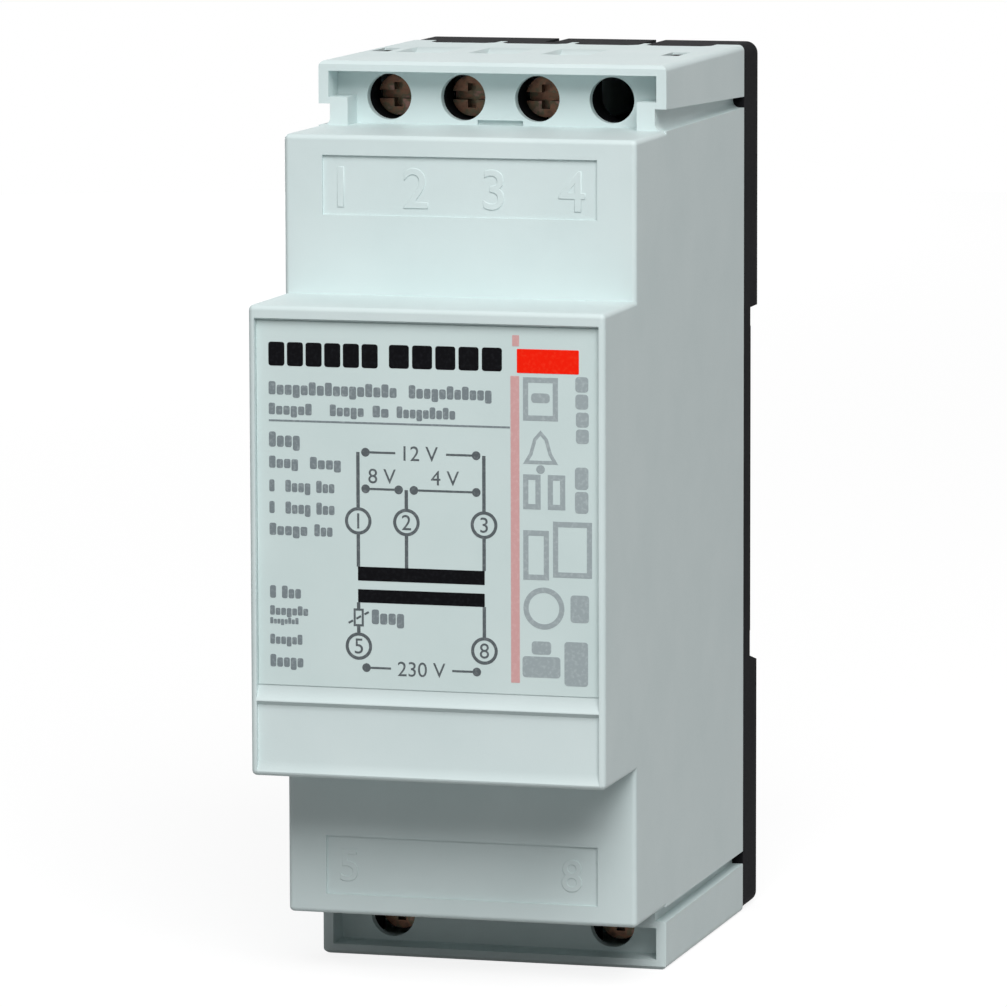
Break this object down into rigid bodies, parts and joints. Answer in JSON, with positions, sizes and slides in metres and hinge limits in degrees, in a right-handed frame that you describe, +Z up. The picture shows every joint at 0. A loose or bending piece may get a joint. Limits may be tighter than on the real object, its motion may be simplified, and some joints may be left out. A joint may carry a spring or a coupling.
{
  "type": "doorbell transformer",
  "caption": "Grey two-module doorbell transformer with screw terminals above and below, a printed front and a black base that clips on a 35 mm rail.",
  "frame": {"origin": "middle of the flat seat in the base that lies against the rail", "axes": "+X to the right seen from the front, +Y from the front towards the rail, +Z up"},
  "size_m": [0.035, 0.061, 0.0886],
  "materials": {
    "housing_plastic": "fine satin grain",
    "label_print": "smooth printed film",
    "base_plastic": "fine satin grain",
    "latch_plastic": "satin",
    "spring_steel": "bright strip",
    "core_steel": "stacked sheet edges",
    "former_nylon": "natural",
    "copper": "enamelled copper wire",
    "wrap_film": "yellow film",
    "protector_ceramic": "lacquered",
    "screw_zinc": "yellow-passivated zinc",
    "cage_zinc": "zinc plated",
    "contact_brass": "bright",
    "lead_white": "insulated lead",
    "lead_blue": "insulated lead"
  },
  "bodies": {
    "case": {"housing": "housing_plastic", "front_label": "label_print", "base": "base_plastic", "latch_spring": "spring_steel", "core_e_stack": "core_steel", "core_i_stack": "core_steel", "bobbin": "former_nylon", "primary_winding": "copper", "secondary_winding": "copper", "primary_wrap": "wrap_film", "secondary_wrap": "wrap_film", "ptc_disc": "protector_ceramic", "lead_1": "lead_white", "lead_2": "lead_white", "lead_3": "lead_white", "lead_5": "lead_blue", "lead_6": "lead_blue", "lead_8": "lead_blue", "contact_bar_1": "contact_brass", "contact_bar_2": "contact_brass", "contact_bar_3": "contact_brass", "contact_bar_5": "contact_brass", "contact_bar_8": "contact_brass"},
    "screw_1": {"terminal_screw_1": "screw_zinc"},
    "cage_1": {"clamp_cage_1": "cage_zinc"},
    "screw_2": {"terminal_screw_2": "screw_zinc"},
    "cage_2": {"clamp_cage_2": "cage_zinc"},
    "screw_3": {"terminal_screw_3": "screw_zinc"},
    "cage_3": {"clamp_cage_3": "cage_zinc"},
    "screw_5": {"terminal_screw_5": "screw_zinc"},
    "cage_5": {"clamp_cage_5": "cage_zinc"},
    "screw_8": {"terminal_screw_8": "screw_zinc"},
    "cage_8": {"clamp_cage_8": "cage_zinc"},
    "latch": {"rail_latch": "latch_plastic"}
  },
  "joints": [
    {"name": "screw_turn_1", "type": "hinge", "parent": "case", "child": "screw_1", "pos_m": [-0.01125, -0.024, 0.0406], "axis": [0, 1, 0], "range_deg": [0, 2581]},
    {"name": "cage_slide_1", "type": "slide", "parent": "case", "child": "cage_1", "axis": [0, -1, 0], "range_m": [0, 0.0043]},
    {"name": "screw_turn_2", "type": "hinge", "parent": "case", "child": "screw_2", "pos_m": [-0.00375, -0.024, 0.0406], "axis": [0, 1, 0], "range_deg": [0, 2581]},
    {"name": "cage_slide_2", "type": "slide", "parent": "case", "child": "cage_2", "axis": [0, -1, 0], "range_m": [0, 0.0043]},
    {"name": "screw_turn_3", "type": "hinge", "parent": "case", "child": "screw_3", "pos_m": [0.00375, -0.024, 0.0406], "axis": [0, 1, 0], "range_deg": [0, 2581]},
    {"name": "cage_slide_3", "type": "slide", "parent": "case", "child": "cage_3", "axis": [0, -1, 0], "range_m": [0, 0.0043]},
    {"name": "screw_turn_5", "type": "hinge", "parent": "case", "child": "screw_5", "pos_m": [-0.01125, -0.024, -0.0406], "axis": [0, 1, 0], "range_deg": [0, 2581]},
    {"name": "cage_slide_5", "type": "slide", "parent": "case", "child": "cage_5", "axis": [0, -1, 0], "range_m": [0, 0.0043]},
    {"name": "screw_turn_8", "type": "hinge", "parent": "case", "child": "screw_8", "pos_m": [0.01125, -0.024, -0.0406], "axis": [0, 1, 0], "range_deg": [0, 2581]},
    {"name": "cage_slide_8", "type": "slide", "parent": "case", "child": "cage_8", "axis": [0, -1, 0], "range_m": [0, 0.0043]},
    {"name": "latch_slide", "type": "slide", "parent": "case", "child": "latch", "axis": [0, 0, -1], "range_m": [0, 0.003], "stiffness_N_per_m": 1000, "springref_m": -0.002, "deforming": ["latch_spring"]}
  ],
  "couplings": [
    {"joint": "screw_turn_1", "follows": "cage_slide_1", "rad_per_m": 10472},
    {"joint": "screw_turn_2", "follows": "cage_slide_2", "rad_per_m": 10472},
    {"joint": "screw_turn_3", "follows": "cage_slide_3", "rad_per_m": 10472},
    {"joint": "screw_turn_5", "follows": "cage_slide_5", "rad_per_m": 10472},
    {"joint": "screw_turn_8", "follows": "cage_slide_8", "rad_per_m": 10472}
  ]
}
